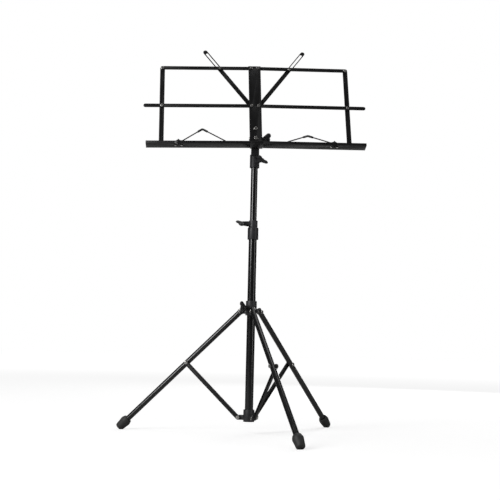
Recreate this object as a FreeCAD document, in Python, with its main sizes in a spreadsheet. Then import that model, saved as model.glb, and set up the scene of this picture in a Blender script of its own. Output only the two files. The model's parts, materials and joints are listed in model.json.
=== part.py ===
import FreeCAD, Part
import math
import os
import re

# Folding music stand: tripod on a two-part mast with a fold-up desk of flat steel bars.
# World frame, mm: mast axis on Z, floor at Z = 0, player's side is -Y, right hand is +X.

os.makedirs("parts", exist_ok=True)
doc = FreeCAD.newDocument("music_stand")

Vector = FreeCAD.Vector
Rotation = FreeCAD.Rotation
Placement = FreeCAD.Placement

# ------------------------------------------------------------------ driving dimensions
DIMS = {
    # mast
    "lower_tube_radius": 9.5,
    "lower_tube_wall": 1.2,
    "lower_tube_bottom": 31.0,
    "lower_tube_top": 470.0,
    "upper_tube_radius": 8.0,
    "upper_tube_wall": 1.0,
    "upper_tube_bottom": 170.0,
    "upper_tube_top": 637.4,
    "slide_gap": 0.3,
    "pin_gap": 0.05,
    "face_gap": 0.35,
    # height collar
    "collar_bottom": 443.0,
    "collar_shoulder": 472.0,
    "collar_top": 486.5,
    "collar_radius": 12.5,
    "collar_neck_radius": 10.2,
    "collar_knob_level": 478.5,
    "knob_seat": 16.0,
    "knob_boss_radius": 6.0,
    # wing screws
    "wing_radius": 6.0,
    "wing_reach": 15.5,
    "wing_thick": 6.4,
    "wing_spread": 38.0,
    "wing_start": 6.0,
    "wing_boss": 13.0,
    "screw_radius": 2.5,
    "screw_bite": 9.0,
    # tripod
    "hub_radius": 12.6,
    "hub_bottom": 268.0,
    "hub_top": 301.0,
    "hub_pivot_level": 277.0,
    "hub_knob_level": 284.0,
    "hub_flare_radius": 13.4,
    "hub_flare_height": 7.0,
    "pivot_circle": 25.0,
    "link_length": 172.0,
    "leg_angle": 45.8,
    "leg_radius": 6.35,
    "leg_wall": 1.0,
    "leg_side": 5.0,
    "leg_head": 7.0,
    "leg_end": 373.4,
    "brace_width": 9.8,
    "brace_thick": 4.5,
    "brace_side": 4.0,
    "brace_web": 1.4,
    "lug_radius": 5.6,
    "lower_hub_radius": 12.6,
    "lower_hub_bottom": 28.0,
    "lower_hub_top": 55.0,
    "lower_lug_thick": 4.9,
    "rivet_radius": 2.2,
    "rivet_head": 4.0,
    "rivet_cap": 1.4,
    "foot_start": 361.4,
    "foot_waist": 9.0,
    "foot_toe": 22.0,
    "foot_neck_radius": 9.6,
    "foot_bulb_radius": 12.0,
    "foot_toe_radius": 9.4,
    # desk socket and tilt joint
    "socket_bottom": 611.0,
    "socket_top": 641.0,
    "socket_radius": 11.2,
    "socket_bore_top": 638.0,
    "socket_knob_level": 625.5,
    "tilt_level": 676.9,
    "tilt_forward": 8.2,
    "knuckle_radius": 8.6,
    "knuckle_half": 9.0,
    "ear_thick": 2.0,
    "tilt_bolt_radius": 3.0,
    "tilt_knob_seat": 12.4,
    # desk, measured from the middle pivots on the spine
    "desk_lean": 15.0,
    "desk_yaw": 3.0,
    "desk_roll": 1.4,
    "bar_droop": 0.6,
    "tilt_behind": 15.0,
    "tilt_below": 81.0,
    "spine_half": 14.5,
    "spine_thick": 1.5,
    "spine_top": 106.5,
    "spine_bottom": 112.5,
    "pivot_side": 8.3,
    "pivot_top": 102.5,
    "pivot_tray": 101.5,
    "bar_reach": 210.0,
    "bar_thick": 1.3,
    "bar_half": 4.5,
    "mid_bar_tail": 38.0,
    "side_half": 5.6,
    "arm_half": 5.1,
    "arm_length": 182.5,
    "slot_start": 125.5,
    "slot_end": 175.3,
    "slot_half": 2.8,
    "slot_pin_reach": 74.0,
    "slot_pin_radius": 1.4,
    "arm_angle": 36.5,
    "top_layer": 3.4,
    "arm_layer": 5.8,
    "side_layer": 7.4,
    "mid_layer": 1.8,
    "tray_layer": 2.0,
    "tray_sheet": 1.2,
    "tray_depth": 24.0,
    "tray_lip": 6.0,
    "tray_inner": 15.0,
    "tray_outer": 252.0,
    "tray_back": 16.0,
    "tray_under": 11.0,
    "tab_radius": 5.1,
    "upper_screw_drop": 60.6,
    "lower_screw_drop": 85.4,
    # page holders
    "wire_radius": 1.4,
    "sleeve_radius": 2.5,
    "wire_rise": 30.0,
    "wire_start": 178.0,
    "wire_apex_left": 123.5,
    "wire_apex_right": 113.5,
    "wire_finish": 71.5,
    "wire_axis_depth": 21.6,
    "wire_axis_level": 104.8,
    "sleeve_share": 0.22,
    "clip_half": 7.0,
    "clip_wall": 2.2,
    "plate_half": 10.0,
    "plate_thick": 1.0,
    "clip_rivet_radius": 1.5,
    "clip_rivet_head": 2.4,
}

sheet = doc.addObject("Spreadsheet::Sheet", "dims")
for row, (alias, size) in enumerate(DIMS.items(), start=1):
    sheet.set("A%d" % row, alias)
    sheet.set("B%d" % row, str(size))
    sheet.setAlias("B%d" % row, alias)
doc.recompute()

WORD = re.compile(r"[a-z_]+")
TURN_X = Rotation(Vector(0, 1, 0), 90)
TURN_Y = Rotation(Vector(1, 0, 0), -90)
NO_TURN = Rotation()
TURNS = {"x": TURN_X, "y": TURN_Y, "z": NO_TURN}


def bound(formula):
    """Turn the dimension names in a formula into references to the sheet."""
    return WORD.sub(lambda hit: "dims." + hit.group(0) if hit.group(0) in DIMS else hit.group(0), str(formula))


def primitive(kind, name, sizes, at, turn):
    piece = doc.addObject(kind, name)
    for prop, formula in sizes.items():
        piece.setExpression(prop, bound(formula))
    piece.Placement = Placement(Vector(), turn)
    for axis, formula in zip("xyz", at):
        piece.setExpression("Placement.Base." + axis, bound(formula))
    return piece


def rod(name, radius, length, at, along="z"):
    return primitive("Part::Cylinder", name, {"Radius": radius, "Height": length}, at, TURNS[along])


def cone(name, radius_start, radius_end, length, at):
    sizes = {"Radius1": radius_start, "Radius2": radius_end, "Height": length}
    return primitive("Part::Cone", name, sizes, at, NO_TURN)


def ball(name, radius, at):
    return primitive("Part::Sphere", name, {"Radius": radius}, at, NO_TURN)


def block(name, size, at):
    sizes = dict(zip(("Length", "Width", "Height"), size))
    return primitive("Part::Box", name, sizes, at, NO_TURN)


def fuse(name, pieces, where=None):
    whole = doc.addObject("Part::MultiFuse", name)
    whole.Shapes = pieces
    whole.Refine = True
    if where is not None:
        whole.Placement = where
    return whole


def cut(name, base, tools, where=None):
    tool = tools[0] if len(tools) == 1 else fuse(name + "_tool", tools)
    rest = doc.addObject("Part::Cut", name)
    rest.Base = base
    rest.Tool = tool
    rest.Refine = True
    if where is not None:
        rest.Placement = where
    return rest


def bundle(name, pieces, where=None):
    group = doc.addObject("Part::Compound", name)
    group.Links = pieces
    if where is not None:
        group.Placement = where
    return group


NODES = []


def node(piece, label, where=None):
    """Register a finished sub-part under its human name."""
    piece.Label = label
    if where is not None:
        piece.Placement = where
    NODES.append(piece)
    return piece


def shift(x_pos, y_pos, z_pos, turn=NO_TURN):
    return Placement(Vector(x_pos, y_pos, z_pos), turn)


def about(axis, degrees):
    return Placement(Vector(), Rotation(Vector(*axis), degrees))


X_AXIS = (1, 0, 0)
Y_AXIS = (0, 1, 0)
Z_AXIS = (0, 0, 1)

# ------------------------------------------------------------------ wing screws
def wing_screw(name, where, hole_radius="screw_radius", hole_depth="screw_bite"):
    """Moulded wing grip, local Z is the screw axis and Z = 0 the seat."""
    boss = rod(name + "_boss", "knob_boss_radius", "wing_boss", (0, 0, 0))
    lobes = []
    for side, tag in ((1, "_a"), (-1, "_b")):
        leaf = block(
            name + "_leaf" + tag,
            ("2 * wing_radius", "wing_thick", "wing_reach"),
            ("-wing_radius", "-wing_thick / 2", 0),
        )
        tip = rod(name + "_tip" + tag, "wing_radius", "wing_thick", (0, "-wing_thick / 2", "wing_reach"), "y")
        tilted = Rotation(Vector(*Y_AXIS), side * DIMS["wing_spread"])
        lobes.append(fuse(name + "_lobe" + tag, [leaf, tip], shift(0, 0, DIMS["wing_start"], tilted)))
    web = rod(name + "_web", "wing_radius + 1", "wing_thick", (0, "-wing_thick / 2", "wing_start + 0.55 * wing_reach"), "y")
    grip = fuse(name + "_grip", [boss, web] + lobes)
    bore = rod(name + "_bore", hole_radius, hole_depth, (0, 0, 0))
    return node(cut(name, grip, [bore]), name, where)


def knob_frame(azimuth, level, roll):
    """Frame on the seat of a radial wing screw at the given azimuth and height."""
    out = about(Z_AXIS, azimuth) * shift(DIMS["knob_seat"] + 0.4, 0, level) * about(Y_AXIS, 90)
    return out * about(Z_AXIS, roll)


def clamp_screw(name, tip_radius, azimuth, level):
    """Steel stem of a radial wing screw, from just off the tube into the grip."""
    stem = rod(name + "_stem", "screw_radius", "knob_seat + 0.4 + screw_bite - (%s)" % tip_radius,
               (tip_radius, 0, 0), "x")
    return node(fuse(name, [stem, ball(name + "_core", 1, ("knob_seat + 2", 0, 0))]), name,
                about(Z_AXIS, azimuth) * shift(0, 0, level))


def radial_boss(name, azimuth, level):
    """Short boss that thickens a collar where its wing screw enters."""
    boss = rod(name, "knob_boss_radius", "knob_seat", (0, 0, 0), "x")
    holder = fuse(name + "_turned", [boss, ball(name + "_core", 1, (3, 0, 0))])
    holder.Placement = about(Z_AXIS, azimuth) * shift(0, 0, level)
    return holder


def radial_bore(name, azimuth, level):
    """Tapped hole for the wing screw, with running room round the stem."""
    hole = rod(name, "screw_radius + pin_gap", "knob_seat + 2", (0, 0, 0), "x")
    holder = fuse(name + "_turned", [hole, ball(name + "_core", 1, (3, 0, 0))])
    holder.Placement = about(Z_AXIS, azimuth) * shift(0, 0, level)
    return holder


# ------------------------------------------------------------------ mast
def tube(name, radius, wall, bottom, top):
    outer = rod(name + "_outer", radius, "%s - %s" % (top, bottom), (0, 0, bottom))
    inner = rod(name + "_inner", "%s - %s" % (radius, wall), "%s - %s + 4" % (top, bottom), (0, 0, "%s - 2" % bottom))
    return cut(name, outer, [inner])


COLLAR_KNOB_AZIMUTH = 205.0
HUB_KNOB_AZIMUTH = 230.5
SOCKET_KNOB_AZIMUTH = -58.0

lower_tube = tube("lower_mast_tube", "lower_tube_radius", "lower_tube_wall", "lower_tube_bottom", "lower_tube_top")
node(lower_tube, "lower_mast_tube")
node(tube("upper_mast_tube", "upper_tube_radius", "upper_tube_wall", "upper_tube_bottom", "upper_tube_top"),
     "upper_mast_tube")

# cap that closes the bottom end of the upper tube
plug_head = rod("plug_head", "upper_tube_radius", 4, (0, 0, "upper_tube_bottom - 4"))
plug_stem = rod("plug_stem", "upper_tube_radius - upper_tube_wall", 14, (0, 0, "upper_tube_bottom - 1"))
node(fuse("upper_tube_plug", [plug_head, plug_stem]), "upper_tube_plug")

collar_body = rod("collar_body", "collar_radius", "collar_shoulder - collar_bottom - 3", (0, 0, "collar_bottom"))
collar_taper = cone("collar_taper", "collar_radius", "collar_neck_radius", 3, (0, 0, "collar_shoulder - 3"))
collar_neck = rod("collar_neck", "collar_neck_radius", "collar_top - collar_shoulder", (0, 0, "collar_shoulder"))
collar_outside = fuse("collar_outside", [
    collar_body, collar_taper, collar_neck,
    radial_boss("collar_boss", COLLAR_KNOB_AZIMUTH, DIMS["collar_knob_level"]),
])
collar_seat = rod("collar_seat", "lower_tube_radius", "lower_tube_top - collar_bottom + 2", (0, 0, "collar_bottom - 2"))
collar_bore = rod("collar_bore", "upper_tube_radius + slide_gap", "collar_top - collar_bottom + 4",
                  (0, 0, "collar_bottom - 2"))
node(cut("height_collar", collar_outside, [
    collar_seat, collar_bore,
    radial_bore("collar_tap", COLLAR_KNOB_AZIMUTH, DIMS["collar_knob_level"]),
]), "height_collar")
wing_screw("height_knob", knob_frame(COLLAR_KNOB_AZIMUTH, DIMS["collar_knob_level"], 65))
clamp_screw("height_knob_screw", "upper_tube_radius + slide_gap", COLLAR_KNOB_AZIMUTH, DIMS["collar_knob_level"])

# ------------------------------------------------------------------ tripod
LEGS = {"left": 170.5, "rear": 50.5, "front": -69.5}
LEAN = DIMS["leg_angle"]
HALF_SPAN = DIMS["link_length"] * math.cos(math.radians(LEAN))
LOWER_PIVOT_LEVEL = DIMS["hub_pivot_level"] - 2 * HALF_SPAN
LOWER_PIVOT = "hub_pivot_level - 2 * link_length * cos(leg_angle * 1deg)"


def lug(name, side_low, thick, level, azimuth):
    """Flat ear on a hub that carries one leg or one brace."""
    arm = block(name + "_arm", ("pivot_circle - 6", thick, "2 * lug_radius"), (6, side_low, "%s - lug_radius" % level))
    end = rod(name + "_end", "lug_radius", thick, ("pivot_circle", side_low, level), "y")
    return fuse(name, [arm, end], about(Z_AXIS, azimuth))


def pin_hole(name, side_low, length, level, azimuth):
    hole = rod(name + "_hole", "rivet_radius", length, ("pivot_circle", side_low, level), "y")
    return fuse(name, [hole, ball(name + "_core", 1, ("pivot_circle", "%s + 2" % side_low, level))],
                about(Z_AXIS, azimuth))


LEG_INNER = "leg_radius - leg_side"
UPPER_LUG_LOW = "leg_radius - leg_side + face_gap"
LOWER_LUG_LOW = "brace_side - brace_thick / 2 - face_gap - lower_lug_thick"

hub_pieces = [
    rod("hub_body", "hub_radius", "hub_top - hub_bottom", (0, 0, "hub_bottom")),
    rod("hub_flare", "hub_flare_radius", "hub_flare_height", (0, 0, "hub_bottom")),
    radial_boss("hub_boss", HUB_KNOB_AZIMUTH, DIMS["hub_knob_level"]),
]
hub_holes = [
    rod("hub_bore", "lower_tube_radius + slide_gap", "hub_top - hub_bottom + 4", (0, 0, "hub_bottom - 2")),
    radial_bore("hub_tap", HUB_KNOB_AZIMUTH, DIMS["hub_knob_level"]),
]
low_pieces = [
    rod("low_body", "lower_hub_radius", "lower_hub_top - lower_hub_bottom", (0, 0, "lower_hub_bottom")),
]
low_holes = [
    rod("low_seat", "lower_tube_radius", "lower_hub_top - lower_tube_bottom + 2", (0, 0, "lower_tube_bottom")),
]
for leg_name, azimuth in LEGS.items():
    hub_pieces.append(lug("hub_lug_" + leg_name, UPPER_LUG_LOW, "brace_thick", "hub_pivot_level", azimuth))
    hub_holes.append(pin_hole("hub_pinhole_" + leg_name, UPPER_LUG_LOW + " - 1", "brace_thick + 2",
                              "hub_pivot_level", azimuth))
    low_pieces.append(lug("low_lug_" + leg_name, LOWER_LUG_LOW, "lower_lug_thick", LOWER_PIVOT, azimuth))
    low_holes.append(pin_hole("low_pinhole_" + leg_name, LOWER_LUG_LOW + " - 1", "lower_lug_thick + 2",
                              LOWER_PIVOT, azimuth))
node(cut("tripod_hub", fuse("hub_solid", hub_pieces), hub_holes), "tripod_hub")
node(cut("lower_hub", fuse("low_solid", low_pieces), low_holes), "lower_hub")
wing_screw("hub_knob", knob_frame(HUB_KNOB_AZIMUTH, DIMS["hub_knob_level"], 0))
clamp_screw("hub_knob_screw", "lower_tube_radius + slide_gap", HUB_KNOB_AZIMUTH, DIMS["hub_knob_level"])


def headed_pin(name, start, finish, at_x, at_z, where=None):
    """Rivet along local Y from start to finish with a cap outside each end."""
    shank = rod(name + "_shank", "rivet_radius", "(%s) - (%s)" % (finish, start), (at_x, start, at_z), "y")
    cap_a = rod(name + "_cap_a", "rivet_head", "rivet_cap", (at_x, "(%s) - rivet_cap" % start, at_z), "y")
    cap_b = rod(name + "_cap_b", "rivet_head", "rivet_cap", (at_x, finish, at_z), "y")
    return fuse(name, [shank, cap_a, cap_b], where)


LEG_OUTER = "-leg_side - leg_radius - slide_gap"
hub_pins = []
low_pins = []
for leg_name, azimuth in LEGS.items():
    hub_pins.append(headed_pin("hub_pin_" + leg_name, LEG_OUTER, UPPER_LUG_LOW + " + brace_thick",
                               "pivot_circle", "hub_pivot_level", about(Z_AXIS, azimuth)))
    low_pins.append(headed_pin("low_pin_" + leg_name, LOWER_LUG_LOW, "brace_side + brace_thick / 2 + slide_gap",
                               "pivot_circle", LOWER_PIVOT, about(Z_AXIS, azimuth)))
node(bundle("hub_pins", hub_pins), "tripod_hub_pins")
node(bundle("low_pins", low_pins), "lower_hub_pins")

for leg_name, azimuth in LEGS.items():
    leg_frame = (about(Z_AXIS, azimuth)
                 * shift(DIMS["pivot_circle"], 0, DIMS["hub_pivot_level"])
                 * about(Y_AXIS, 180 - LEAN))
    brace_frame = (about(Z_AXIS, azimuth)
                   * shift(DIMS["pivot_circle"], 0, LOWER_PIVOT_LEVEL)
                   * about(Y_AXIS, LEAN))
    tag = "_" + leg_name
    # leg tube with cross holes for the hub pin and the knee rivet
    leg_outer = rod("leg_outer" + tag, "leg_radius", "leg_end + leg_head", (0, "-leg_side", "-leg_head"))
    leg_inner = rod("leg_inner" + tag, "leg_radius - leg_wall", "leg_end + leg_head - 2",
                    (0, "-leg_side", "2 - leg_head"))
    leg_holes = [leg_inner]
    for hole_tag, hole_at in (("_top", 0), ("_knee", "link_length")):
        leg_holes.append(rod("leg_hole" + hole_tag + tag, "rivet_radius + pin_gap", "4 * leg_radius",
                             (0, "-leg_side - 2 * leg_radius", hole_at), "y"))
    node(cut("leg" + tag, leg_outer, leg_holes), "leg_tube" + tag, leg_frame)

    # pressed channel brace beside the leg
    brace_low = "brace_side - brace_thick / 2"
    brace_bar = block("brace_bar" + tag, ("brace_width", "brace_thick", "link_length"),
                      ("-brace_width / 2", brace_low, 0))
    brace_ends = [
        rod("brace_end" + end_tag + tag, "brace_width / 2", "brace_thick", (0, brace_low, end_at), "y")
        for end_tag, end_at in (("_low", 0), ("_knee", "link_length"))
    ]
    brace_trough = block("brace_trough" + tag,
                         ("brace_width - 2 * brace_web", "brace_thick - brace_web + 1", "link_length - 24"),
                         ("brace_web - brace_width / 2", brace_low + " - 1", 12))
    brace_holes = [
        brace_trough,
        rod("brace_hole_low" + tag, "rivet_radius + pin_gap", "brace_thick + 2", (0, brace_low + " - 1", 0), "y"),
        rod("brace_hole_knee" + tag, "rivet_radius", "brace_thick + 2", (0, brace_low + " - 1", "link_length"), "y"),
    ]
    node(cut("brace" + tag, fuse("brace_solid" + tag, [brace_bar] + brace_ends), brace_holes),
         "leg_brace" + tag, brace_frame)
    node(headed_pin("knee_rivet" + tag, LEG_OUTER, "brace_side + brace_thick / 2", 0, "link_length"),
         "knee_rivet" + tag, brace_frame)

    # rubber foot, trimmed flat where it stands on the floor
    foot_solid = fuse("foot_solid" + tag, [
        cone("foot_upper" + tag, "foot_neck_radius", "foot_bulb_radius", "foot_waist",
             (0, "-leg_side", "foot_start")),
        cone("foot_lower" + tag, "foot_bulb_radius", "foot_toe_radius", "foot_toe",
             (0, "-leg_side", "foot_start + foot_waist")),
    ])
    foot_bore = rod("foot_bore" + tag, "leg_radius", "leg_end - foot_start + 2", (0, "-leg_side", "foot_start - 2"))
    floor_block = block("floor_block" + tag, (400, 400, 60), (0, 0, 0))
    floor_cut = fuse("floor_cut" + tag, [floor_block, block("floor_pad" + tag, (10, 10, 50), (5, 5, 5))])
    floor_cut.Placement = leg_frame.inverse() * about(Z_AXIS, azimuth) * shift(150, -200, -60)
    node(cut("foot" + tag, foot_solid, [foot_bore, floor_cut]), "rubber_foot" + tag, leg_frame)

# ------------------------------------------------------------------ desk socket on the mast
YAW = about(Z_AXIS, DIMS["desk_yaw"])
socket_pieces = [
    rod("socket_barrel", "socket_radius", "socket_top - socket_bottom", (0, 0, "socket_bottom")),
    block("socket_neck", ("2 * knuckle_half", "2 * knuckle_radius", "tilt_level - socket_top + 3"),
          ("-knuckle_half", "-tilt_forward - knuckle_radius", "socket_top - 3")),
    rod("socket_knuckle", "knuckle_radius", "2 * knuckle_half", ("-knuckle_half", "-tilt_forward", "tilt_level"), "x"),
    radial_boss("socket_boss", SOCKET_KNOB_AZIMUTH - DIMS["desk_yaw"], DIMS["socket_knob_level"]),
]
socket_holes = [
    rod("socket_bore", "upper_tube_radius + slide_gap", "socket_bore_top - socket_bottom + 2",
        (0, 0, "socket_bottom - 2")),
    rod("socket_bolt_hole", "tilt_bolt_radius", "4 * knuckle_half", ("-2 * knuckle_half", "-tilt_forward", "tilt_level"),
        "x"),
    radial_bore("socket_tap", SOCKET_KNOB_AZIMUTH - DIMS["desk_yaw"], DIMS["socket_knob_level"]),
]
node(cut("desk_socket", fuse("socket_solid", socket_pieces), socket_holes), "desk_socket", YAW)
wing_screw("socket_knob", knob_frame(SOCKET_KNOB_AZIMUTH, DIMS["socket_knob_level"], 60))
clamp_screw("socket_knob_screw", "upper_tube_radius + slide_gap", SOCKET_KNOB_AZIMUTH, DIMS["socket_knob_level"])

# bolt through the knuckle, carrying the tilt wing nut on the right
bolt_out = "knuckle_half + ear_thick + 0.7"
tilt_bolt = fuse("tilt_bolt_solid", [
    rod("tilt_bolt_shank", "tilt_bolt_radius", "%s + tilt_knob_seat + 8" % bolt_out,
        ("-(%s)" % bolt_out, "-tilt_forward", "tilt_level"), "x"),
    rod("tilt_bolt_head", "tilt_bolt_radius + 2.4", 3, ("-(%s) - 3" % bolt_out, "-tilt_forward", "tilt_level"), "x"),
])
node(tilt_bolt, "tilt_bolt", YAW)
tilt_frame = YAW * shift(DIMS["tilt_knob_seat"], -DIMS["tilt_forward"], DIMS["tilt_level"]) * about(Y_AXIS, 90)
wing_screw("tilt_knob", tilt_frame * about(Z_AXIS, 12), "tilt_bolt_radius + pin_gap", "screw_bite")

# ------------------------------------------------------------------ desk frames
# desk frame: X along the tray, Y away from the player, Z up the spine, origin between the middle pivots
TILT_POINT = YAW * shift(0, -DIMS["tilt_forward"], DIMS["tilt_level"])
BRACKET = TILT_POINT * about(X_AXIS, -DIMS["desk_lean"]) * shift(0, -DIMS["tilt_behind"], DIMS["tilt_below"])
ROLL_POINT = -(DIMS["upper_screw_drop"] + DIMS["lower_screw_drop"]) / 2
DESK = BRACKET * shift(0, 0, ROLL_POINT) * about(Y_AXIS, -DIMS["desk_roll"]) * shift(0, 0, -ROLL_POINT)

# tilt bracket riveted behind the spine, two ears over the knuckle
ear_reach = "tilt_behind - spine_thick"
bracket_pieces = [
    block("bracket_plate", ("2 * knuckle_half + 2 * ear_thick + 0.8", "2", "tilt_below - 53 + 8"),
          ("-knuckle_half - ear_thick - 0.4", "spine_thick", "-tilt_below - 8")),
]
bracket_holes = []
for ear_tag, ear_low in (("_left", "-knuckle_half - ear_thick - 0.4"), ("_right", "knuckle_half + 0.4")):
    bracket_pieces.append(block("ear_web" + ear_tag, ("ear_thick", ear_reach, "2 * (knuckle_radius - 0.6)"),
                                (ear_low, "spine_thick", "-tilt_below - knuckle_radius + 0.6")))
    bracket_pieces.append(rod("ear_end" + ear_tag, "knuckle_radius - 0.6", "ear_thick",
                              (ear_low, "tilt_behind", "-tilt_below"), "x"))
bracket_holes.append(rod("ear_hole", "tilt_bolt_radius + pin_gap", 60, (-30, "tilt_behind", "-tilt_below"), "x"))
for screw_tag, drop in (("_upper", "upper_screw_drop"), ("_lower", "lower_screw_drop")):
    bracket_holes.append(rod("bracket_hole" + screw_tag, "rivet_radius + 0.35", 6, (0, 0, "-" + drop), "y"))
node(cut("tilt_bracket", fuse("bracket_solid", bracket_pieces), bracket_holes), "tilt_bracket", BRACKET)

# spine plate, its foot bent forward into the fixed centre of the tray
spine_pieces = [
    block("spine_plate", ("2 * spine_half", "spine_thick", "spine_top + spine_bottom"),
          ("-spine_half", 0, "-spine_bottom")),
    block("spine_shelf", ("2 * spine_half", "tray_depth + tray_layer", "tray_sheet"),
          ("-spine_half", "-tray_depth - tray_layer", "-spine_bottom")),
    block("spine_lip", ("2 * spine_half", "tray_sheet", "tray_lip"),
          ("-spine_half", "-tray_depth - tray_layer", "-spine_bottom")),
]
PIVOTS = {"top": "pivot_top", "mid": "0", "tray": "-pivot_tray"}
spine_holes = []
for pivot_name, level in PIVOTS.items():
    for side, side_name in ((-1, "left"), (1, "right")):
        spine_holes.append(rod("spine_hole_%s_%s" % (pivot_name, side_name), "rivet_radius", 8,
                               ("%d * pivot_side" % side, -4, level), "y"))
for screw_tag, drop in (("_upper", "upper_screw_drop"), ("_lower", "lower_screw_drop")):
    spine_holes.append(rod("spine_screw_hole" + screw_tag, "rivet_radius", 8, (0, -4, "-" + drop), "y"))
node(cut("desk_spine", fuse("spine_solid", spine_pieces), spine_holes), "desk_spine", DESK)

screws = []
for screw_tag, drop in (("_upper", "upper_screw_drop"), ("_lower", "lower_screw_drop")):
    screws.append(fuse("spine_rivet_solid" + screw_tag, [
        rod("spine_rivet_shank" + screw_tag, "rivet_radius", "spine_thick + 2.8", (0, 0, "-" + drop), "y"),
        rod("spine_rivet_head" + screw_tag, "rivet_head + 0.4", 1.4, (0, -1.4, "-" + drop), "y"),
        rod("spine_rivet_back" + screw_tag, "rivet_head - 0.6", 0.8, (0, "spine_thick + 2", "-" + drop), "y"),
    ]))
node(bundle("bracket_rivets", screws), "bracket_rivets", DESK)


def shoulder_pin(name, at_x, at_z, steps):
    """Stepped rivet along local Y, each step is (start, length, radius)."""
    parts = [
        rod("%s_step_%d" % (name, count), radius, length, (at_x, start, at_z), "y")
        for count, (start, length, radius) in enumerate(steps)
    ]
    return fuse(name, parts)


PIN = "rivet_radius"
HEAD = "rivet_head - 0.4"
pivot_steps = {
    "top": [
        (-1.4, 1.4, HEAD),
        (0, "top_layer + bar_thick + 0.3", PIN),
        ("spine_thick", "top_layer - spine_thick - 0.3", HEAD),
        ("top_layer + bar_thick + 0.3", 0.5, HEAD),
    ],
    "mid": [
        (-1.4, 1.4, HEAD),
        (0, "arm_layer + bar_thick + 0.3", PIN),
        ("mid_layer + bar_thick + 0.3", "arm_layer - mid_layer - bar_thick - 0.6", HEAD),
        ("arm_layer + bar_thick + 0.3", 1.0, HEAD),
    ],
    "tray": [
        ("-tray_layer - tray_sheet - 1.7", 1.4, HEAD),
        ("-tray_layer - tray_sheet - 0.3", "tray_layer + tray_sheet + 0.3 + spine_thick", PIN),
        ("0.3 - tray_layer", "tray_layer - 0.3", HEAD),
        ("spine_thick", 0.8, HEAD),
    ],
}
spine_pins = []
for pivot_name, steps in pivot_steps.items():
    for side, side_name in ((-1, "left"), (1, "right")):
        spine_pins.append(shoulder_pin("spine_pin_%s_%s" % (pivot_name, side_name),
                                       "%d * pivot_side" % side, PIVOTS[pivot_name], steps))
node(bundle("spine_pins", spine_pins), "spine_pivot_rivets", DESK)

# ------------------------------------------------------------------ folding halves of the desk
SIDES = {"left": -1, "right": 1}


def flat_bar(name, half, thick, layer, start, finish, side):
    """Flat bar with round ends, lying along X on the given side of its pivot."""
    low_end = "%d * (%s)" % (side, start)
    far_end = "%d * (%s)" % (side, finish)
    left_end = low_end if side > 0 else far_end
    body = block(name + "_body", ("(%s) - (%s)" % (finish, start), thick, "2 * (%s)" % half),
                 (left_end, layer, "-(%s)" % half))
    ends = [
        rod(name + "_round_a", half, thick, (low_end, layer, 0), "y"),
        rod(name + "_round_b", half, thick, (far_end, layer, 0), "y"),
    ]
    return fuse(name + "_bar", [body] + ends)


def through_hole(name, at_x, at_z, radius, layer):
    return rod(name, radius, "4 * bar_thick", (at_x, "(%s) - bar_thick" % layer, at_z), "y")


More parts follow.
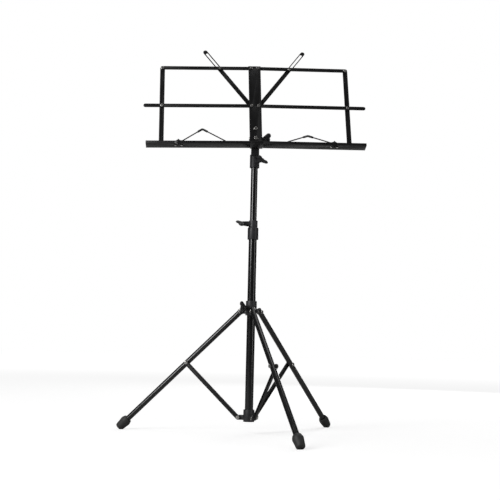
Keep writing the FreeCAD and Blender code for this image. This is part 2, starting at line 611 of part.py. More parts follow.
for side_name, side in SIDES.items():
    tag = "_" + side_name
    # a positive droop lowers the free end on either side
    droop = side * DIMS["bar_droop"]

    def pivot_frame(level, degrees):
        return DESK * shift(side * DIMS["pivot_side"], 0, level) * about(Y_AXIS, degrees)

    loose = "rivet_radius + pin_gap"
    top_frame = pivot_frame(DIMS["pivot_top"], droop)
    mid_frame = pivot_frame(0, droop)
    tray_frame = pivot_frame(-DIMS["pivot_tray"], droop)

    top_bar = flat_bar("top" + tag, "bar_half", "bar_thick", "top_layer", "0", "bar_reach", side)
    node(cut("top_bar" + tag, top_bar, [
        through_hole("top_hole_a" + tag, 0, 0, loose, "top_layer"),
        through_hole("top_hole_b" + tag, "%d * bar_reach" % side, 0, loose, "top_layer"),
        through_hole("top_hole_p" + tag, "%d * slot_pin_reach" % side, 0, "slot_pin_radius", "top_layer"),
    ]), "top_bar" + tag, top_frame)
    node(shoulder_pin("slot_pin" + tag, "%d * slot_pin_reach" % side, 0, [
        ("top_layer - 0.9", 0.9, "slot_pin_radius + 1.6"),
        ("top_layer", "arm_layer + bar_thick - top_layer", "slot_pin_radius"),
        ("top_layer + bar_thick", 0.7, "slot_pin_radius + 1.2"),
    ]), "slot_pin" + tag, top_frame)

    mid_bar = flat_bar("mid" + tag, "bar_half", "bar_thick", "mid_layer", "0", "bar_reach + mid_bar_tail", side)
    node(cut("mid_bar" + tag, mid_bar, [
        through_hole("mid_hole_a" + tag, 0, 0, loose, "mid_layer"),
        through_hole("mid_hole_b" + tag, "%d * bar_reach" % side, 0, loose, "mid_layer"),
    ]), "middle_bar" + tag, mid_frame)

    # side bar stays parallel to the spine, local origin on its top corner rivet
    corner = top_frame * shift(side * DIMS["bar_reach"], 0, 0) * about(Y_AXIS, -droop)
    side_run = "pivot_top + pivot_tray"
    side_bar = fuse("side_solid" + tag, [
        block("side_body" + tag, ("2 * side_half", "bar_thick", side_run),
              ("-side_half", "side_layer", "-(%s)" % side_run)),
        rod("side_round_top" + tag, "side_half", "bar_thick", (0, "side_layer", 0), "y"),
        rod("side_round_low" + tag, "side_half", "bar_thick", (0, "side_layer", "-(%s)" % side_run), "y"),
    ])
    side_levels = {"_top": "0", "_mid": "-pivot_top", "_low": "-(%s)" % side_run}
    node(cut("side_bar" + tag, side_bar, [
        through_hole("side_hole" + spot + tag, 0, level, "rivet_radius", "side_layer")
        for spot, level in side_levels.items()
    ]), "side_bar" + tag, corner)
    side_rivets = [
        shoulder_pin("side_rivet_top" + tag, 0, "0", [
            ("top_layer - 1.3", 1, HEAD),
            ("top_layer - 0.3", "side_layer + bar_thick - top_layer + 0.3", PIN),
            ("top_layer + bar_thick + 0.3", "side_layer - top_layer - bar_thick - 0.3", HEAD),
            ("side_layer + bar_thick", 1, HEAD),
        ]),
        shoulder_pin("side_rivet_mid" + tag, 0, "-pivot_top", [
            ("mid_layer - 1.3", 1, HEAD),
            ("mid_layer - 0.3", "side_layer + bar_thick - mid_layer + 0.3", PIN),
            ("mid_layer + bar_thick + 0.3", "side_layer - mid_layer - bar_thick - 0.3", HEAD),
            ("side_layer + bar_thick", 1, HEAD),
        ]),
        shoulder_pin("side_rivet_low" + tag, 0, "-(%s)" % side_run, [
            ("-tray_layer - tray_sheet - 1.5", 1.2, HEAD),
            ("-tray_layer - tray_sheet - 0.3", "tray_layer + tray_sheet + 0.3 + side_layer + bar_thick", PIN),
            ("0.3 - tray_layer", "tray_layer - 0.3 + side_layer", HEAD),
            ("side_layer + bar_thick", 1, HEAD),
        ]),
    ]
    node(bundle("side_rivets" + tag, side_rivets), "side_bar_rivets" + tag, corner)

    # slotted diagonal arm, local Z runs up the arm from the middle pivot
    arm_frame = pivot_frame(0, side * DIMS["arm_angle"])
    arm_solid = fuse("arm_solid" + tag, [
        block("arm_body" + tag, ("2 * arm_half", "bar_thick", "arm_length"), ("-arm_half", "arm_layer", 0)),
        rod("arm_round_low" + tag, "arm_half", "bar_thick", (0, "arm_layer", 0), "y"),
        rod("arm_round_top" + tag, "arm_half", "bar_thick", (0, "arm_layer", "arm_length"), "y"),
    ])
    arm_slot = [
        block("slot_body" + tag, ("2 * slot_half", "4 * bar_thick", "slot_end - slot_start"),
              ("-slot_half", "arm_layer - bar_thick", "slot_start")),
        through_hole("slot_low" + tag, 0, "slot_start", "slot_half", "arm_layer"),
        through_hole("slot_top" + tag, 0, "slot_end", "slot_half", "arm_layer"),
        through_hole("arm_hole" + tag, 0, 0, loose, "arm_layer"),
    ]
    node(cut("slotted_arm" + tag, arm_solid, arm_slot), "slotted_arm" + tag, arm_frame)

    # folded sheet tray, X measured from its pivot on the spine
    tray_from = "tray_inner - pivot_side"
    tray_run = "tray_outer - tray_inner"
    tray_left = tray_from if side > 0 else "-(tray_outer - pivot_side)"
    tray_pieces = [
        block("tray_back" + tag, (tray_run, "tray_sheet", "tray_back"),
              (tray_left, "-tray_layer - tray_sheet", "-tray_under")),
        block("tray_floor" + tag, (tray_run, "tray_depth", "tray_sheet"),
              (tray_left, "-tray_layer - tray_depth", "-tray_under")),
        block("tray_front" + tag, (tray_run, "tray_sheet", "tray_lip"),
              (tray_left, "-tray_layer - tray_depth", "-tray_under")),
        block("tray_tab" + tag, (12, "tray_sheet", "tray_back - tray_under + tab_radius"),
              (0 if side > 0 else -12, "-tray_layer - tray_sheet", "-tab_radius")),
        rod("tray_tab_round" + tag, "tab_radius", "tray_sheet", (0, "-tray_layer - tray_sheet", 0), "y"),
    ]
    clip_at = "%d * (wire_start - pivot_side)" % side
    clip_rivet_x = ["%s - clip_half" % clip_at, "%s + clip_half" % clip_at]
    rivet_y = "-wire_axis_depth + 3.4 + clip_rivet_head"
    tray_holes = [
        rod("tray_hole" + tag, loose, 6, (0, "-tray_layer - tray_sheet - 2", 0), "y"),
        rod("tray_side_hole" + tag, loose, 6, ("%d * bar_reach" % side, "-tray_layer - tray_sheet - 2", 0), "y"),
    ]
    for count, rivet_x in enumerate(clip_rivet_x):
        tray_holes.append(rod("tray_rivet_hole_%d%s" % (count, tag), "clip_rivet_radius", 6,
                              (rivet_x, rivet_y, "-tray_under - 2")))
    node(cut("tray" + tag, fuse("tray_solid" + tag, tray_pieces), tray_holes), "music_tray" + tag, tray_frame)

    # page holder clip on the tray floor, its barrel takes the hinge leg of the wire
    floor_top = "tray_sheet - tray_under"
    axis_level = "pivot_tray - wire_axis_level"
    clip_pieces = [
        block("clip_base" + tag, ("2 * clip_half + 2 * clip_rivet_head", "2 * clip_rivet_head + 4.4", "plate_thick"),
              ("%s - clip_half - clip_rivet_head" % clip_at, "-wire_axis_depth - 1", floor_top)),
        block("clip_post" + tag, ("1.2 * clip_half", "2 * clip_wall", "%s - (%s)" % (axis_level, floor_top)),
              ("%s - 0.6 * clip_half" % clip_at, "-wire_axis_depth - clip_wall", floor_top)),
        rod("clip_barrel" + tag, "clip_wall", "1.2 * clip_half",
            ("%s - 0.6 * clip_half" % clip_at, "-wire_axis_depth", axis_level), "x"),
    ]
    clip_holes = [
        rod("clip_bore" + tag, "wire_radius + pin_gap", "3 * clip_half",
            ("%s - 1.5 * clip_half" % clip_at, "-wire_axis_depth", axis_level), "x"),
    ]
    rivets = []
    for count, rivet_x in enumerate(clip_rivet_x):
        clip_holes.append(rod("clip_rivet_hole_%d%s" % (count, tag), "clip_rivet_radius", 6,
                              (rivet_x, rivet_y, floor_top + " - 2")))
        rivet_name = "clip_rivet_%d%s" % (count, tag)
        rivets.append(fuse(rivet_name, [
            rod(rivet_name + "_shank", "clip_rivet_radius", "tray_sheet + 2 * plate_thick",
                (rivet_x, rivet_y, "-tray_under - plate_thick")),
            rod(rivet_name + "_top", "clip_rivet_head", 0.9, (rivet_x, rivet_y, floor_top + " + plate_thick")),
            rod(rivet_name + "_low", "clip_rivet_head", 0.9, (rivet_x, rivet_y, "-tray_under - plate_thick - 0.9")),
        ]))
    node(cut("page_clip" + tag, fuse("clip_solid" + tag, clip_pieces), clip_holes), "page_clip" + tag, tray_frame)
    node(bundle("page_clip_rivets" + tag, rivets), "page_clip_rivets" + tag, tray_frame)

    # plate under the tray floor, turned up in front of the lip as a diamond with two stamped studs
    plate_y = "-tray_layer - tray_depth - plate_thick - 0.1"
    diamond = fuse("diamond_solid" + tag, [
        block("diamond_square" + tag, ("1.25 * plate_half", "1.25 * plate_half", "plate_thick"),
              ("-0.625 * plate_half", "-0.625 * plate_half", 0)),
        rod("diamond_stud_a" + tag, "clip_rivet_radius", "plate_thick + 0.8",
            ("0.26 * plate_half", "0.26 * plate_half", 0)),
        rod("diamond_stud_b" + tag, "clip_rivet_radius", "plate_thick + 0.8",
            ("-0.26 * plate_half", "-0.26 * plate_half", 0)),
    ])
    diamond_x = side * (DIMS["wire_start"] - DIMS["pivot_side"])
    diamond.Placement = (shift(diamond_x, -DIMS["tray_layer"] - DIMS["tray_depth"] - 0.1,
                               DIMS["tray_lip"] / 2 - DIMS["tray_under"] - 1.6)
                         * about(X_AXIS, 90) * about(Z_AXIS, 45))
    strap = block("plate_strap" + tag, ("2 * clip_half + 2 * clip_rivet_head", "2 * clip_rivet_head", "plate_thick"),
                  ("%s - clip_half - clip_rivet_head" % clip_at, rivet_y + " - clip_rivet_head",
                   "-tray_under - plate_thick"))
    tongue = block("plate_tongue" + tag,
                   (8, "%s - (%s)" % (rivet_y, plate_y), "plate_thick"),
                   ("%s - 4" % clip_at, plate_y, "-tray_under - plate_thick"))
    plate_holes = [
        rod("plate_hole_%d%s" % (count, tag), "clip_rivet_radius", 6, (rivet_x, rivet_y, "-tray_under - 3"))
        for count, rivet_x in enumerate(clip_rivet_x)
    ]
    node(cut("page_plate" + tag, fuse("plate_solid" + tag, [diamond, strap, tongue]), plate_holes),
         "page_plate" + tag, tray_frame)

    # bent wire page holder, local origin on its hinge line at the clip
    open_angle = 0 if side < 0 else 90
    wire_frame = (tray_frame
                  * shift(side * (DIMS["wire_start"] - DIMS["pivot_side"]), -DIMS["wire_axis_depth"],
                          DIMS["pivot_tray"] - DIMS["wire_axis_level"])
                  * about(X_AXIS, open_angle))
    apex_x = -side * (DIMS["wire_start"] - DIMS["wire_apex" + tag])
    finish_x = -side * (DIMS["wire_start"] - DIMS["wire_finish"])
    knee_x = -side * 9.0
    rise = DIMS["wire_rise"]

    def span(name, radius, start, finish):
        """Round bar between two points, rounded with a ball at its far end."""
        run = Vector(*finish) - Vector(*start)
        bar = doc.addObject("Part::Cylinder", name)
        bar.setExpression("Radius", bound(radius))
        bar.Height = run.Length
        bar.Placement = Placement(Vector(*start), Rotation(Vector(*Z_AXIS), run))
        return bar

    wire_pieces = [
        rod("wire_hinge" + tag, "wire_radius", 15, (-9 if side > 0 else -6, 0, 0), "x"),
        span("wire_up" + tag, "wire_radius", (knee_x, 0, 0), (apex_x, 0, rise)),
        span("wire_down" + tag, "wire_radius", (apex_x, 0, rise), (finish_x, 0, 0)),
        ball("wire_knee" + tag, "wire_radius", (knee_x, 0, 0)),
        ball("wire_apex" + tag, "wire_radius", (apex_x, 0, rise)),
        ball("wire_tip" + tag, "wire_radius * 1.25", (finish_x, 0, 0)),
    ]
    wire = fuse("page_wire" + tag, wire_pieces)
    node(wire, "page_wire" + tag, wire_frame)

    share = DIMS["sleeve_share"]
    up_x = apex_x + share * (knee_x - apex_x)
    down_x = apex_x + share * (finish_x - apex_x)
    low_z = rise * (1 - share)
    sleeve_body = fuse("sleeve_body" + tag, [
        span("sleeve_up" + tag, "sleeve_radius", (up_x, 0, low_z), (apex_x, 0, rise)),
        span("sleeve_down" + tag, "sleeve_radius", (apex_x, 0, rise), (down_x, 0, low_z)),
        ball("sleeve_apex" + tag, "sleeve_radius", (apex_x, 0, rise)),
    ])
    sleeve_core = fuse("sleeve_core" + tag, [
        span("core_up" + tag, "wire_radius", (knee_x, 0, 0), (apex_x, 0, rise)),
        span("core_down" + tag, "wire_radius", (apex_x, 0, rise), (finish_x, 0, 0)),
        ball("core_apex" + tag, "wire_radius", (apex_x, 0, rise)),
    ])
    node(cut("page_sleeve" + tag, sleeve_body, [sleeve_core]), "page_sleeve" + tag, wire_frame)

# ------------------------------------------------------------------ check and write
doc.recompute()
for item in doc.Objects:
    if "Invalid" in item.State or "Error" in item.State:
        raise RuntimeError("broken object: " + item.Label)
for piece in NODES:
    shape = piece.Shape
    if shape.isNull() or not shape.isValid():
        raise RuntimeError("bad shape: " + piece.Label)
    shape.exportStep("parts/" + piece.Label + ".step")
print("nodes", len(NODES))
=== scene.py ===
import json
import math

import bmesh
import bpy
from mathutils import Matrix, Vector


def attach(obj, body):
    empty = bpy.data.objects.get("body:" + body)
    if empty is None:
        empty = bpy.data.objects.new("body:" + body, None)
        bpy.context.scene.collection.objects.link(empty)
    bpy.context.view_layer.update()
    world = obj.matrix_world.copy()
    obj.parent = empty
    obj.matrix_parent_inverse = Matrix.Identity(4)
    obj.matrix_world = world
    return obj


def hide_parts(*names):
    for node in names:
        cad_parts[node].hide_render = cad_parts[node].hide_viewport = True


# Looks for the folding music stand. Metres, mast axis on Z, player's side is -Y.

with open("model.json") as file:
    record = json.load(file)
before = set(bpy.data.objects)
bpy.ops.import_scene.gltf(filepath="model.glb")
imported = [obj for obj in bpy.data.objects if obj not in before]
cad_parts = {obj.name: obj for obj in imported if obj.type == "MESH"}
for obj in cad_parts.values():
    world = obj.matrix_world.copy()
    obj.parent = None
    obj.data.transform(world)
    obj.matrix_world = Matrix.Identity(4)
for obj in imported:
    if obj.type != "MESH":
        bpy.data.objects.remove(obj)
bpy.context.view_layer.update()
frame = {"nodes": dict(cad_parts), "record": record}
NODES = frame["nodes"]
BODY_OF = {}
for body_name, members in frame["record"]["behaviour"]["bodies"].items():
    for member in members:
        BODY_OF[member] = body_name
SLOT_OF = {entry["node"]: entry["material_slot"] for entry in frame["record"]["subparts"]}
MM = 0.001

# places shared by several pieces, millimetres and degrees
DESK_YAW = 3.0
TILT_FORWARD = 8.2
TILT_LEVEL = 676.9
KNOB_SEAT = 16.4

# ---------------------------------------------------------------- materials
def new_material(name):
    material = bpy.data.materials.new(name)
    material.use_nodes = True
    tree = material.node_tree
    tree.nodes.clear()
    output = tree.nodes.new("ShaderNodeOutputMaterial")
    shader = tree.nodes.new("ShaderNodeBsdfPrincipled")
    tree.links.new(shader.outputs["BSDF"], output.inputs["Surface"])
    return material, tree, shader


def add_noise(tree, scale, detail=3.0, rough=0.5, stretch=None):
    coords = tree.nodes.new("ShaderNodeTexCoord")
    noise = tree.nodes.new("ShaderNodeTexNoise")
    noise.inputs["Scale"].default_value = scale
    noise.inputs["Detail"].default_value = detail
    noise.inputs["Roughness"].default_value = rough
    if stretch is None:
        tree.links.new(coords.outputs["Object"], noise.inputs["Vector"])
    else:
        mapping = tree.nodes.new("ShaderNodeMapping")
        mapping.inputs["Scale"].default_value = stretch
        tree.links.new(coords.outputs["Object"], mapping.inputs["Vector"])
        tree.links.new(mapping.outputs["Vector"], noise.inputs["Vector"])
    return noise


def ramp(tree, source, stops):
    node = tree.nodes.new("ShaderNodeValToRGB")
    while len(node.color_ramp.elements) < len(stops):
        node.color_ramp.elements.new(0.5)
    for element, (place, colour) in zip(node.color_ramp.elements, stops):
        element.position = place
        element.color = (*colour, 1.0)
    tree.links.new(source, node.inputs["Fac"])
    return node


def spread(tree, source, low, high, from_low=0.3, from_high=0.7):
    node = tree.nodes.new("ShaderNodeMapRange")
    node.inputs["From Min"].default_value = from_low
    node.inputs["From Max"].default_value = from_high
    node.inputs["To Min"].default_value = low
    node.inputs["To Max"].default_value = high
    tree.links.new(source, node.inputs["Value"])
    return node


def add_bump(tree, shader, source, strength, distance):
    bump = tree.nodes.new("ShaderNodeBump")
    bump.inputs["Strength"].default_value = strength
    bump.inputs["Distance"].default_value = distance
    tree.links.new(source, bump.inputs["Height"])
    tree.links.new(bump.outputs["Normal"], shader.inputs["Normal"])
    return bump


def enamel(name, dark, light, scuff, rough, coat, peel_scale, peel):
    """Black stoved enamel: faint orange peel, cloudy gloss and a few pale scuffs."""
    material, tree, shader = new_material(name)
    cloud = add_noise(tree, 26.0, 4.0, 0.6)
    specks = add_noise(tree, 620.0, 2.0, 0.5)
    base = ramp(tree, cloud.outputs["Fac"], [(0.30, dark), (0.70, light)])
    marks = ramp(tree, specks.outputs["Fac"], [(0.0, (0, 0, 0)), (0.735, (0, 0, 0)), (0.80, (1, 1, 1))])
    mix = tree.nodes.new("ShaderNodeMix")
    mix.data_type = "RGBA"
    tree.links.new(marks.outputs["Color"], mix.inputs["Factor"])
    tree.links.new(base.outputs["Color"], mix.inputs["A"])
    mix.inputs["B"].default_value = (*scuff, 1.0)
    tree.links.new(mix.outputs["Result"], shader.inputs["Base Color"])
    gloss = spread(tree, cloud.outputs["Fac"], rough - 0.05, rough + 0.08)
    tree.links.new(gloss.outputs["Result"], shader.inputs["Roughness"])
    shader.inputs["Coat Weight"].default_value = coat
    shader.inputs["Coat Roughness"].default_value = 0.12
    shader.inputs["IOR"].default_value = 1.5
    ripple = add_noise(tree, peel_scale, 2.0, 0.5)
    add_bump(tree, shader, ripple.outputs["Fac"], peel, 0.0002)
    return material


def plastic(name, dark, light, rough, grain_scale, grain):
    """Moulded plastic or rubber with a fine spark-eroded grain."""
    material, tree, shader = new_material(name)
    cloud = add_noise(tree, 60.0, 3.0, 0.55)
    base = ramp(tree, cloud.outputs["Fac"], [(0.32, dark), (0.68, light)])
    tree.links.new(base.outputs["Color"], shader.inputs["Base Color"])
    gloss = spread(tree, cloud.outputs["Fac"], rough - 0.06, rough + 0.08)
    tree.links.new(gloss.outputs["Result"], shader.inputs["Roughness"])
    shader.inputs["IOR"].default_value = 1.47
    texture = add_noise(tree, grain_scale, 4.0, 0.6)
    add_bump(tree, shader, texture.outputs["Fac"], grain, 0.0003)
    return material


def plated(name, dark, light, rough):
    """Nickel plate: slightly cloudy, with hairline brushing."""
    material, tree, shader = new_material(name)
    cloud = add_noise(tree, 240.0, 4.0, 0.6)
    base = ramp(tree, cloud.outputs["Fac"], [(0.3, dark), (0.7, light)])
    tree.links.new(base.outputs["Color"], shader.inputs["Base Color"])
    gloss = spread(tree, cloud.outputs["Fac"], rough - 0.07, rough + 0.12)
    tree.links.new(gloss.outputs["Result"], shader.inputs["Roughness"])
    shader.inputs["Metallic"].default_value = 1.0
    hair = add_noise(tree, 900.0, 2.0, 0.5, stretch=(1.0, 1.0, 0.12))
    add_bump(tree, shader, hair.outputs["Fac"], 0.12, 0.0001)
    return material


MATERIALS = {
    "black_tube_enamel": enamel("tube_enamel", (0.0030, 0.0030, 0.0033), (0.0048, 0.0048, 0.0052),
                                (0.014, 0.014, 0.014), 0.19, 0.3, 300.0, 0.012),
    "black_flat_enamel": enamel("bar_enamel", (0.0028, 0.0028, 0.0030), (0.0046, 0.0046, 0.0050),
                                (0.014, 0.014, 0.014), 0.34, 0.1, 360.0, 0.02),
    "collar_plastic": plastic("collar_plastic", (0.020, 0.020, 0.022), (0.030, 0.030, 0.033), 0.44, 900.0, 0.16),
    "knob_plastic": plastic("knob_plastic", (0.010, 0.010, 0.011), (0.018, 0.018, 0.020), 0.38, 1000.0, 0.16),
    "sleeve_plastic": plastic("sleeve_plastic", (0.018, 0.018, 0.018), (0.030, 0.030, 0.030), 0.48, 800.0, 0.25),
    "black_rubber": plastic("foot_rubber", (0.020, 0.020, 0.020), (0.036, 0.036, 0.035), 0.58, 700.0, 0.40),
    "nickel_steel": plated("nickel_plate", (0.52, 0.51, 0.49), (0.74, 0.73, 0.70), 0.24),
}


def dress(obj, slot_name):
    obj.data.materials.clear()
    obj.data.materials.append(MATERIALS[slot_name])


# ---------------------------------------------------------------- mesh helpers
def link(name, mesh):
    obj = bpy.data.objects.new(name, mesh)
    bpy.context.scene.collection.objects.link(obj)
    return obj


def freeze(obj):
    """Apply every modifier of a new piece to its mesh."""
    graph = bpy.context.evaluated_depsgraph_get()
    mesh = bpy.data.meshes.new_from_object(obj.evaluated_get(graph))
    obj.modifiers.clear()
    obj.data = mesh
    return obj


def smooth_by_angle(obj, degrees):
    for polygon in obj.data.polygons:
        polygon.use_smooth = True
    obj.data.set_sharp_from_angle(angle=math.radians(degrees))


def finish_piece(obj, body, slot_name, replaced=()):
    dress(obj, slot_name)
    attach(obj, body)
    if replaced:
        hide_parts(*replaced)
    return obj


def soften(node, width, segments=3, limit=32.0):
    """Copy of a CAD node with its hard edges rounded, shown in place of the node."""
    mesh = NODES[node].data.copy()
    mesh.materials.clear()
    work = bmesh.new()
    work.from_mesh(mesh)
    bmesh.ops.remove_doubles(work, verts=work.verts, dist=2e-6)
    bmesh.ops.dissolve_limit(work, angle_limit=math.radians(0.4), verts=work.verts, edges=work.edges)
    work.to_mesh(mesh)
    work.free()
    obj = link(node + "_soft_edged", mesh)
    bevel = obj.modifiers.new("edge", "BEVEL")
    bevel.width = width
    bevel.segments = segments
    bevel.limit_method = "ANGLE"
    bevel.angle_limit = math.radians(limit)
    bevel.use_clamp_overlap = True
    bevel.miter_outer = "MITER_ARC"
    freeze(obj)
    smooth_by_angle(obj, 40.0)
    return finish_piece(obj, BODY_OF[node], SLOT_OF[node], (node,))


def lathe(name, profile, transform, steps=56):
    """Solid of revolution about local Z from (radius, height) pairs."""
    work = bmesh.new()
    rings = []
    for radius, height in profile:
        if radius < 1e-7:
            rings.append([work.verts.new((0.0, 0.0, height))])
            continue
        ring = []
        for step in range(steps):
            angle = 2 * math.pi * step / steps
            ring.append(work.verts.new((radius * math.cos(angle), radius * math.sin(angle), height)))
        rings.append(ring)
    for lower, upper in zip(rings, rings[1:]):
        for step in range(steps):
            after = (step + 1) % steps
            if len(lower) == 1 and len(upper) == 1:
                continue
            if len(lower) == 1:
                work.faces.new((lower[0], upper[after], upper[step]))
            elif len(upper) == 1:
                work.faces.new((lower[step], lower[after], upper[0]))
            else:
                work.faces.new((lower[step], lower[after], upper[after], upper[step]))
    bmesh.ops.recalc_face_normals(work, faces=work.faces)
    mesh = bpy.data.meshes.new(name)
    work.to_mesh(mesh)
    work.free()
    mesh.transform(transform)
    return link(name, mesh)


def shift(x_pos, y_pos, z_pos):
    return Matrix.Translation(Vector((x_pos, y_pos, z_pos)) * MM)


def turn(axis, degrees):
    return Matrix.Rotation(math.radians(degrees), 4, axis)


# ---------------------------------------------------------------- wing screws
EAR_SPREAD = 38.0
EAR_ROOT = 6.0


def ear_place(side, reach):
    """Point on the middle line of one ear, at the given distance from where the ears part."""
    lean = math.radians(EAR_SPREAD)
    return (side * reach * math.sin(lean), 0.0, EAR_ROOT + reach * math.cos(lean))


def wing_grip(name, node, where):
    """Moulded grip: tapered boss and two ears with a web between them, blended into one skin."""
    work = bmesh.new()

    def blob(size, place, tilt=0.0):
        spot = Matrix.Translation(Vector(place) * MM) @ turn("Y", tilt)
        scale = Matrix.Diagonal((*(part * MM for part in size), 1.0))
        bmesh.ops.create_uvsphere(work, u_segments=40, v_segments=24, radius=1.0, matrix=spot @ scale)

    def collar(low_radius, high_radius, low, high):
        spot = Matrix.Translation((0.0, 0.0, (low + high) / 2 * MM))
        bmesh.ops.create_cone(work, cap_ends=True, segments=48, radius1=low_radius * MM,
                              radius2=high_radius * MM, depth=(high - low) * MM, matrix=spot)

    collar(5.9, 5.1, 0.1, 9.5)
    collar(5.1, 4.2, 9.5, 12.6)
    for side in (1, -1):
        for step in range(7):
            part = step / 6
            reach = 3.0 + 11.5 * part
            wide = 5.2 + 0.75 * part
            thick = 3.35 - 0.35 * part
            blob((wide, thick, wide), ear_place(side, reach), side * EAR_SPREAD)
        blob((5.95, 3.1, 5.95), ear_place(side, 15.0), side * EAR_SPREAD)
    blob((7.4, 2.9, 7.0), (0.0, 0.0, 15.2))
    mesh = bpy.data.meshes.new(name)
    work.to_mesh(mesh)
    work.free()
    obj = link(name, mesh)
    remesh = obj.modifiers.new("skin", "REMESH")
    remesh.mode = "VOXEL"
    remesh.voxel_size = 0.45 * MM
    relax = obj.modifiers.new("relax", "SMOOTH")
    relax.factor = 0.5
    relax.iterations = 7
    freeze(obj)
    obj.data.transform(where)
    for polygon in obj.data.polygons:
        polygon.use_smooth = True
    return finish_piece(obj, BODY_OF[node], SLOT_OF[node], (node,))


def radial_seat(azimuth, level, roll):
    return turn("Z", azimuth) @ shift(KNOB_SEAT, 0, level) @ turn("Y", 90) @ turn("Z", roll)


wing_grip("height_wing_grip", "height_knob", radial_seat(205.0, 478.5, 65.0))
wing_grip("hub_wing_grip", "hub_knob", radial_seat(230.5, 284.0, 0.0))
wing_grip("socket_wing_grip", "socket_knob", radial_seat(-58.0, 625.5, 60.0))
wing_grip("tilt_wing_grip", "tilt_knob",
          turn("Z", DESK_YAW) @ shift(12.4, -TILT_FORWARD, TILT_LEVEL) @ turn("Y", 90) @ turn("Z", 12.0))

# ---------------------------------------------------------------- rubber feet and tube plugs
LEG_AZIMUTH = {"left": 170.5, "rear": 50.5, "front": -69.5}
LEG_LEAN = 45.8
LEG_SIDE = 5.0
PIVOT_CIRCLE = 25.0
HUB_PIVOT_LEVEL = 277.0


def leg_frame(azimuth):
    return (turn("Z", azimuth) @ shift(PIVOT_CIRCLE, 0, HUB_PIVOT_LEVEL)
            @ turn("Y", 180.0 - LEG_LEAN) @ shift(0, -LEG_SIDE, 0))


FOOT_PROFILE = [
    (6.40, 362.6), (8.2, 361.6), (9.2, 361.7), (9.9, 362.7), (10.7, 364.8), (11.5, 367.4),
    (11.88, 369.4), (11.95, 370.6), (11.8, 372.0), (11.45, 373.6), (11.45, 374.2), (11.35, 375.8),
    (11.0, 377.0), (11.0, 377.6), (10.95, 379.3), (10.6, 380.4), (10.6, 381.0), (10.5, 383.0),
    (10.2, 385.4), (9.95, 387.6), (9.5, 389.6), (8.8, 391.1), (7.4, 392.1), (5.5, 392.38),
    (0.0, 392.3),
]

PLUG_PROFILE = [(0.0, -8.6), (2.4, -8.5), (4.4, -8.1), (5.7, -7.4), (5.3, -6.9), (5.3, -2.0), (0.0, -2.0)]

for leg, azimuth in LEG_AZIMUTH.items():
    tag = "_" + leg
    foot = lathe("ribbed_foot" + tag, [(radius * MM, height * MM) for radius, height in FOOT_PROFILE],
                 leg_frame(azimuth), 72)
    for vertex in foot.data.vertices:
        vertex.co.z = max(vertex.co.z, 0.0)
    smooth_by_angle(foot, 50.0)
    finish_piece(foot, "leg" + tag, "black_rubber", ("rubber_foot" + tag,))

    plug = lathe("leg_end_plug" + tag, [(radius * MM, height * MM) for radius, height in PLUG_PROFILE],
                 leg_frame(azimuth), 48)
    smooth_by_angle(plug, 60.0)
    finish_piece(plug, "leg" + tag, "knob_plastic")

# ---------------------------------------------------------------- page holders
SIDES = {"left": -1, "right": 1}
ROLL_CENTRE = 73.0
DESK = (turn("Z", DESK_YAW) @ shift(0, -TILT_FORWARD, TILT_LEVEL) @ turn("X", -15.0) @ shift(0, -15.0, 81.0)
        @ shift(0, 0, -ROLL_CENTRE) @ turn("Y", -1.4) @ shift(0, 0, ROLL_CENTRE))


def rounded_path(corners, radii, steps=8):
    """Points along a polyline whose inner corners are bent on an arc of the given radius."""
    points = [Vector(corners[0])]
    for before, corner, after, radius in zip(corners, corners[1:], corners[2:], radii):
        before, corner, after = Vector(before), Vector(corner), Vector(after)
        back = (before - corner).normalized()
        ahead = (after - corner).normalized()
        half = back.angle(ahead) / 2
        run = radius / math.tan(half)
        centre = corner + (back + ahead).normalized() * radius / math.sin(half)
        start = corner + back * run - centre
        finish = corner + ahead * run - centre
        axis = start.cross(finish).normalized()
        sweep = start.angle(finish)
        for step in range(steps + 1):
            points.append(centre + Matrix.Rotation(sweep * step / steps, 3, axis) @ start)
    points.append(Vector(corners[-1]))
    return points


def tube_mesh(name, points, radius, transform, sides=20):
    """Round bar swept along points, domed at both ends."""
    work = bmesh.new()
    rings = []
    normal = Vector((0.0, 1.0, 0.0))
    count = len(points)
    caps = [(0.15, -0.9), (0.6, -0.72), (0.88, -0.4)]
    stations = []
    for index, point in enumerate(points):
        before = points[max(index - 1, 0)]
        after = points[min(index + 1, count - 1)]
        stations.append((point, (after - before).normalized(), 1.0))
    first, last = stations[0], stations[-1]
    head = [(first[0] + first[1] * offset * radius, first[1], size) for size, offset in caps]
    tail = [(last[0] - last[1] * offset * radius, last[1], size) for size, offset in reversed(caps)]
    for point, direction, size in head + stations + tail:
        side = (normal - direction * normal.dot(direction)).normalized()
        other = direction.cross(side)
        rings.append([
            work.verts.new(point + (side * math.cos(2 * math.pi * step / sides)
                                    + other * math.sin(2 * math.pi * step / sides)) * radius * size)
            for step in range(sides)
        ])
    for lower, upper in zip(rings, rings[1:]):
        for step in range(sides):
            after = (step + 1) % sides
            work.faces.new((lower[step], lower[after], upper[after], upper[step]))
    work.faces.new(list(reversed(rings[0])))
    work.faces.new(rings[-1])
    bmesh.ops.recalc_face_normals(work, faces=work.faces)
    mesh = bpy.data.meshes.new(name)
    work.to_mesh(mesh)
    work.free()
    mesh.transform(transform)
    return link(name, mesh)


PIVOT_SIDE = 8.3
PIVOT_DROP = 101.5
TRAY_DROOP = 0.6
HINGE_SIDE = 178.0
HINGE_DEPTH = 21.6
HINGE_DROP = 104.8
KNEE_REACH = 9.0
APEX_RISE = 30.0
WIRE_FINISH = 71.5
SLEEVE_SHARE = 0.21
WIRE_APEX = {"left": 123.5, "right": 113.5}
WIRE_OPEN = {"left": 0.0, "right": 90.0}

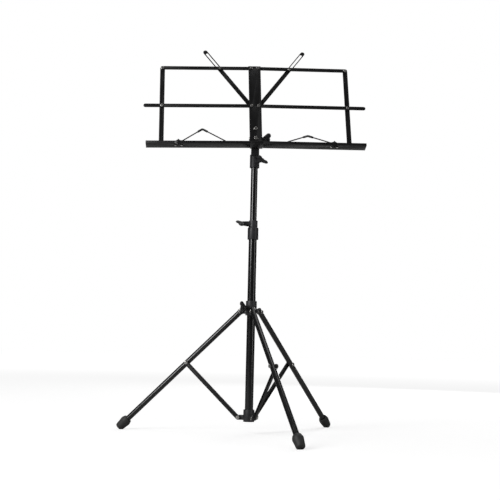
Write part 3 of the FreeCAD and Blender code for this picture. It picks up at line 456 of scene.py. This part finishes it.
for side_name, side in SIDES.items():
    where = (DESK @ shift(side * PIVOT_SIDE, 0, -PIVOT_DROP) @ turn("Y", side * TRAY_DROOP)
             @ shift(side * (HINGE_SIDE - PIVOT_SIDE), -HINGE_DEPTH, PIVOT_DROP - HINGE_DROP)
             @ turn("X", WIRE_OPEN[side_name]))
    apex = Vector((-side * (HINGE_SIDE - WIRE_APEX[side_name]), 0, APEX_RISE)) * MM
    finish_at = Vector((-side * (HINGE_SIDE - WIRE_FINISH), 0, 0)) * MM
    knee = Vector((-side * KNEE_REACH, 0, 0)) * MM
    route = rounded_path([Vector((side * 5.5, 0, 0)) * MM, knee, apex, finish_at], (5.0 * MM, 4.0 * MM))
    wire = tube_mesh("bent_wire_" + side_name, route, 1.38 * MM, where)
    smooth_by_angle(wire, 50.0)
    finish_piece(wire, "holder_" + side_name, SLOT_OF["page_wire_" + side_name],
                 ("page_wire_" + side_name,))
    grip = rounded_path([apex + (knee - apex) * SLEEVE_SHARE, apex,
                         apex + (finish_at - apex) * SLEEVE_SHARE], (4.2 * MM,), 12)
    sleeve = tube_mesh("wire_sleeve_" + side_name, grip, 2.4 * MM, where, 28)
    smooth_by_angle(sleeve, 50.0)
    finish_piece(sleeve, "holder_" + side_name, "sleeve_plastic", ("page_sleeve_" + side_name,))

# ---------------------------------------------------------------- soft-edged metal and plastic parts
for node, width in {
    "height_collar": 0.9, "tripod_hub": 0.7, "lower_hub": 0.7, "desk_socket": 0.8,
}.items():
    soften(node, width * MM, 3)

for node in (
    "desk_spine", "tilt_bracket", "top_bar_left", "top_bar_right", "middle_bar_left", "middle_bar_right",
    "side_bar_left", "side_bar_right", "slotted_arm_left", "slotted_arm_right", "music_tray_left",
    "music_tray_right", "page_clip_left", "page_clip_right", "page_plate_left", "page_plate_right",
):
    soften(node, 0.28 * MM, 2)

for node in ("leg_brace_left", "leg_brace_rear", "leg_brace_front"):
    soften(node, 0.5 * MM, 3)

for node in (
    "lower_hub_pins", "tripod_hub_pins", "knee_rivet_left", "knee_rivet_rear", "knee_rivet_front",
    "bracket_rivets", "spine_pivot_rivets", "side_bar_rivets_left", "side_bar_rivets_right",
    "slot_pin_left", "slot_pin_right", "page_clip_rivets_left", "page_clip_rivets_right", "tilt_bolt",
):
    soften(node, 0.55 * MM, 4)

for node, cad_object in NODES.items():
    dress(cad_object, SLOT_OF[node])

# ---------------------------------------------------------------- studio
FLOOR_HALF = 14.0
SURROUND = 0.08
GLOW_NEAR, GLOW_FAR = 0.66, 0.965
GLOW_START, GLOW_END = 0.4, 5.0

floor_mesh = bpy.data.meshes.new("studio_floor")
floor_mesh.from_pydata(
    [(-FLOOR_HALF, -FLOOR_HALF, 0.0), (FLOOR_HALF, -FLOOR_HALF, 0.0),
     (FLOOR_HALF, FLOOR_HALF, 0.0), (-FLOOR_HALF, FLOOR_HALF, 0.0)],
    [], [(0, 1, 2, 3)])
studio_floor = link("studio_floor", floor_mesh)
floor_material, floor_tree, floor_shader = new_material("studio_white")
floor_shader.inputs["Base Color"].default_value = (0.5, 0.5, 0.5, 1.0)
floor_shader.inputs["Roughness"].default_value = 0.9
floor_shader.inputs["Specular IOR Level"].default_value = 0.0
floor_shader.inputs["Emission Color"].default_value = (1.0, 1.0, 1.0, 1.0)
place = floor_tree.nodes.new("ShaderNodeTexCoord")
away = floor_tree.nodes.new("ShaderNodeVectorMath")
away.operation = "LENGTH"
floor_tree.links.new(place.outputs["Object"], away.inputs[0])
seen = floor_tree.nodes.new("ShaderNodeLightPath")
glow = floor_tree.nodes.new("ShaderNodeMath")
glow.operation = "MULTIPLY"
fade = spread(floor_tree, away.outputs["Value"], GLOW_NEAR, GLOW_FAR, GLOW_START, GLOW_END)
floor_tree.links.new(fade.outputs["Result"], glow.inputs[0])
floor_tree.links.new(seen.outputs["Is Camera Ray"], glow.inputs[1])
floor_tree.links.new(glow.outputs["Value"], floor_shader.inputs["Emission Strength"])
studio_floor.data.materials.append(floor_material)

# white background; the walls that light the object are dimmer, as round a black object in a studio
bpy.context.scene.view_settings.view_transform = "Standard"
world = bpy.data.worlds.new("studio")
bpy.context.scene.world = world
world.use_nodes = True
sky = world.node_tree
backdrop = sky.nodes["Background"]
backdrop.inputs["Color"].default_value = (1.0, 1.0, 1.0, 1.0)
ray = sky.nodes.new("ShaderNodeLightPath")
level = sky.nodes.new("ShaderNodeMapRange")
level.inputs["To Min"].default_value = SURROUND
level.inputs["To Max"].default_value = 1.0
sky.links.new(ray.outputs["Is Camera Ray"], level.inputs["Value"])
sky.links.new(level.outputs["Result"], backdrop.inputs["Strength"])


def softbox(name, place, aim, width, height, radiance):
    """Rectangular light of the given brightness, facing aim."""
    light = bpy.data.lights.new(name, "AREA")
    light.shape = "RECTANGLE"
    light.size = width
    light.size_y = height
    light.energy = radiance * math.pi * width * height
    obj = bpy.data.objects.new(name, light)
    obj.location = place
    obj.rotation_euler = (Vector(aim) - Vector(place)).to_track_quat("-Z", "Y").to_euler()
    bpy.context.scene.collection.objects.link(obj)
    return obj


softbox("key_softbox", (-1.80, -1.60, 1.55), (0, 0, 0.6), 0.8, 1.9, 11.0)
softbox("fill_softbox", (2.10, -1.20, 1.00), (0, 0, 0.5), 0.5, 1.8, 3.0)
softbox("top_softbox", (0.0, 0.30, 2.60), (0, 0, 0.4), 1.6, 1.2, 2.0)
softbox("back_softbox", (0.9, 2.10, 1.30), (0, 0, 0.5), 0.9, 1.8, 3.5)

# ---------------------------------------------------------------- camera
CAMERA_PLACE = (-0.0061, -2.105, 0.1992)
CAMERA_RISE = 5.95
CAMERA_ROLL = 1.35
camera_data = bpy.data.cameras.new("camera")
camera_data.sensor_width = 36.0
camera_data.lens = 66.06
camera = bpy.data.objects.new("camera", camera_data)
camera.matrix_world = (Matrix.Translation(CAMERA_PLACE)
                       @ turn("X", 90.0 + CAMERA_RISE) @ turn("Z", CAMERA_ROLL))
bpy.context.scene.collection.objects.link(camera)
bpy.context.scene.camera = camera
